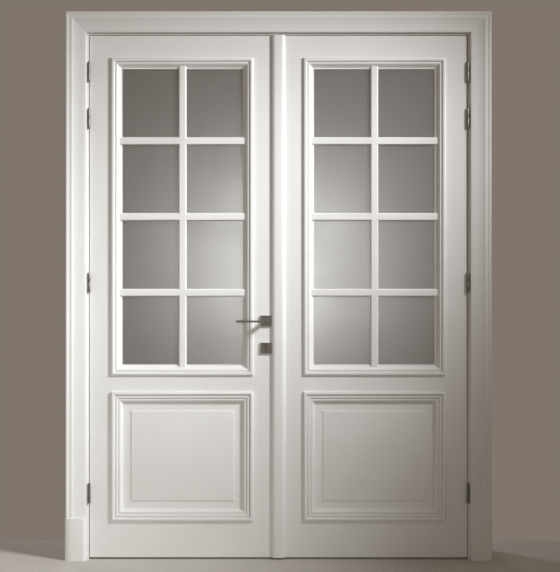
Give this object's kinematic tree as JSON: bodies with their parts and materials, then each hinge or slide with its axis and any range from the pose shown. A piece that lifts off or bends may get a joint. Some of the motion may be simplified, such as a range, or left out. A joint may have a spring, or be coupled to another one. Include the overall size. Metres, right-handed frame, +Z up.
{
  "type": "french doors",
  "caption": "Pair of glazed and panelled french doors hung in a rebated lining with architraves, lever lock, lift-off hinges and flush bolts.",
  "frame": {"origin": "at floor level, in the middle of the doorway's width and of the whole depth from the front lever to the rear architraves", "axes": "+Z up, +X along the doorway towards the passive leaf, -Y towards the side that both leaves open to"},
  "size_m": [1.726, 0.226, 2.217],
  "materials": {
    "painted_wood": "satin paint",
    "satin_glass": "satin etched",
    "seal": "soft matt",
    "hinge_steel": "satin",
    "stainless_steel": "brushed",
    "zinc_plated_steel": "zinc plated",
    "nickel_brass": "satin nickel",
    "chrome": "polished"
  },
  "bodies": {
    "frame": {"jamb_left": "painted_wood", "jamb_right": "painted_wood", "head_lining": "painted_wood", "architrave_front_left": "painted_wood", "architrave_front_right": "painted_wood", "architrave_front_head": "painted_wood", "architrave_rear_left": "painted_wood", "architrave_rear_right": "painted_wood", "architrave_rear_head": "painted_wood", "plinth_block_left": "painted_wood", "plinth_block_right": "painted_wood", "frame_seal": "seal", "hinge_frame_halves": "hinge_steel", "hinge_pins": "hinge_steel", "frame_screws": "stainless_steel", "head_keep": "stainless_steel"},
    "active_leaf": {"active_hinge_stile": "painted_wood", "active_meeting_stile": "painted_wood", "active_top_rail": "painted_wood", "active_lock_rail": "painted_wood", "active_bottom_rail": "painted_wood", "active_raised_panel": "painted_wood", "active_glass_pane": "satin_glass", "active_glazing_front": "painted_wood", "active_glazing_rear": "painted_wood", "active_panel_moulding_front": "painted_wood", "active_panel_moulding_rear": "painted_wood", "active_astragal": "painted_wood", "active_hinge_halves": "hinge_steel", "active_screws": "stainless_steel", "lock_case": "zinc_plated_steel", "lock_forend": "stainless_steel", "lock_cylinder": "nickel_brass", "lever_roses": "chrome", "cylinder_roses": "chrome"},
    "handle": {"lever_front": "chrome", "lever_rear": "chrome", "spindle": "zinc_plated_steel", "follower": "zinc_plated_steel"},
    "latch": {"latch_bolt": "stainless_steel"},
    "key_plug": {"cylinder_plug": "nickel_brass"},
    "bolt": {"dead_bolt": "stainless_steel"},
    "passive_leaf": {"passive_hinge_stile": "painted_wood", "passive_meeting_stile": "painted_wood", "passive_top_rail": "painted_wood", "passive_lock_rail": "painted_wood", "passive_bottom_rail": "painted_wood", "passive_raised_panel": "painted_wood", "passive_glass_pane": "satin_glass", "passive_glazing_front": "painted_wood", "passive_glazing_rear": "painted_wood", "passive_panel_moulding_front": "painted_wood", "passive_panel_moulding_rear": "painted_wood", "passive_astragal": "painted_wood", "passive_hinge_halves": "hinge_steel", "passive_screws": "stainless_steel", "strike_plate": "stainless_steel", "flush_bolt_plates": "stainless_steel"},
    "top_bolt": {"flush_bolt_top": "stainless_steel"},
    "bottom_bolt": {"flush_bolt_bottom": "stainless_steel"}
  },
  "joints": [
    {"name": "active_leaf_swing", "type": "hinge", "parent": "frame", "child": "active_leaf", "pos_m": [-0.7675, -0.057, 1.1], "axis": [0, 0, -1], "range_deg": [0, 135]},
    {"name": "passive_leaf_swing", "type": "hinge", "parent": "frame", "child": "passive_leaf", "pos_m": [0.7675, -0.057, 1.1], "axis": [0, 0, 1], "range_deg": [0, 135]},
    {"name": "lever_turn", "type": "hinge", "parent": "active_leaf", "child": "handle", "pos_m": [-0.0505, -0.031, 0.966], "axis": [0, -1, 0], "range_deg": [0, 40], "stiffness_Nm_per_rad": 1, "springref_deg": -34.38},
    {"name": "latch_slide", "type": "slide", "parent": "active_leaf", "child": "latch", "axis": [-1, 0, 0], "range_m": [0, 0.011]},
    {"name": "key_turn", "type": "hinge", "parent": "active_leaf", "child": "key_plug", "pos_m": [-0.0505, -0.031, 0.863], "axis": [0, 1, 0], "range_deg": [0, 361]},
    {"name": "dead_bolt_slide", "type": "slide", "parent": "active_leaf", "child": "bolt", "axis": [1, 0, 0], "range_m": [0, 0.014]},
    {"name": "top_bolt_slide", "type": "slide", "parent": "passive_leaf", "child": "top_bolt", "axis": [0, 0, 1], "range_m": [0, 0.018]},
    {"name": "bottom_bolt_slide", "type": "slide", "parent": "passive_leaf", "child": "bottom_bolt", "axis": [0, 0, -1], "range_m": [0, 0.018]}
  ],
  "couplings": [
    {"joint": "latch_slide", "follows": "lever_turn", "m_per_rad": 0.0157},
    {"joint": "key_turn", "follows": "dead_bolt_slide", "rad_per_m": 448.8}
  ]
}
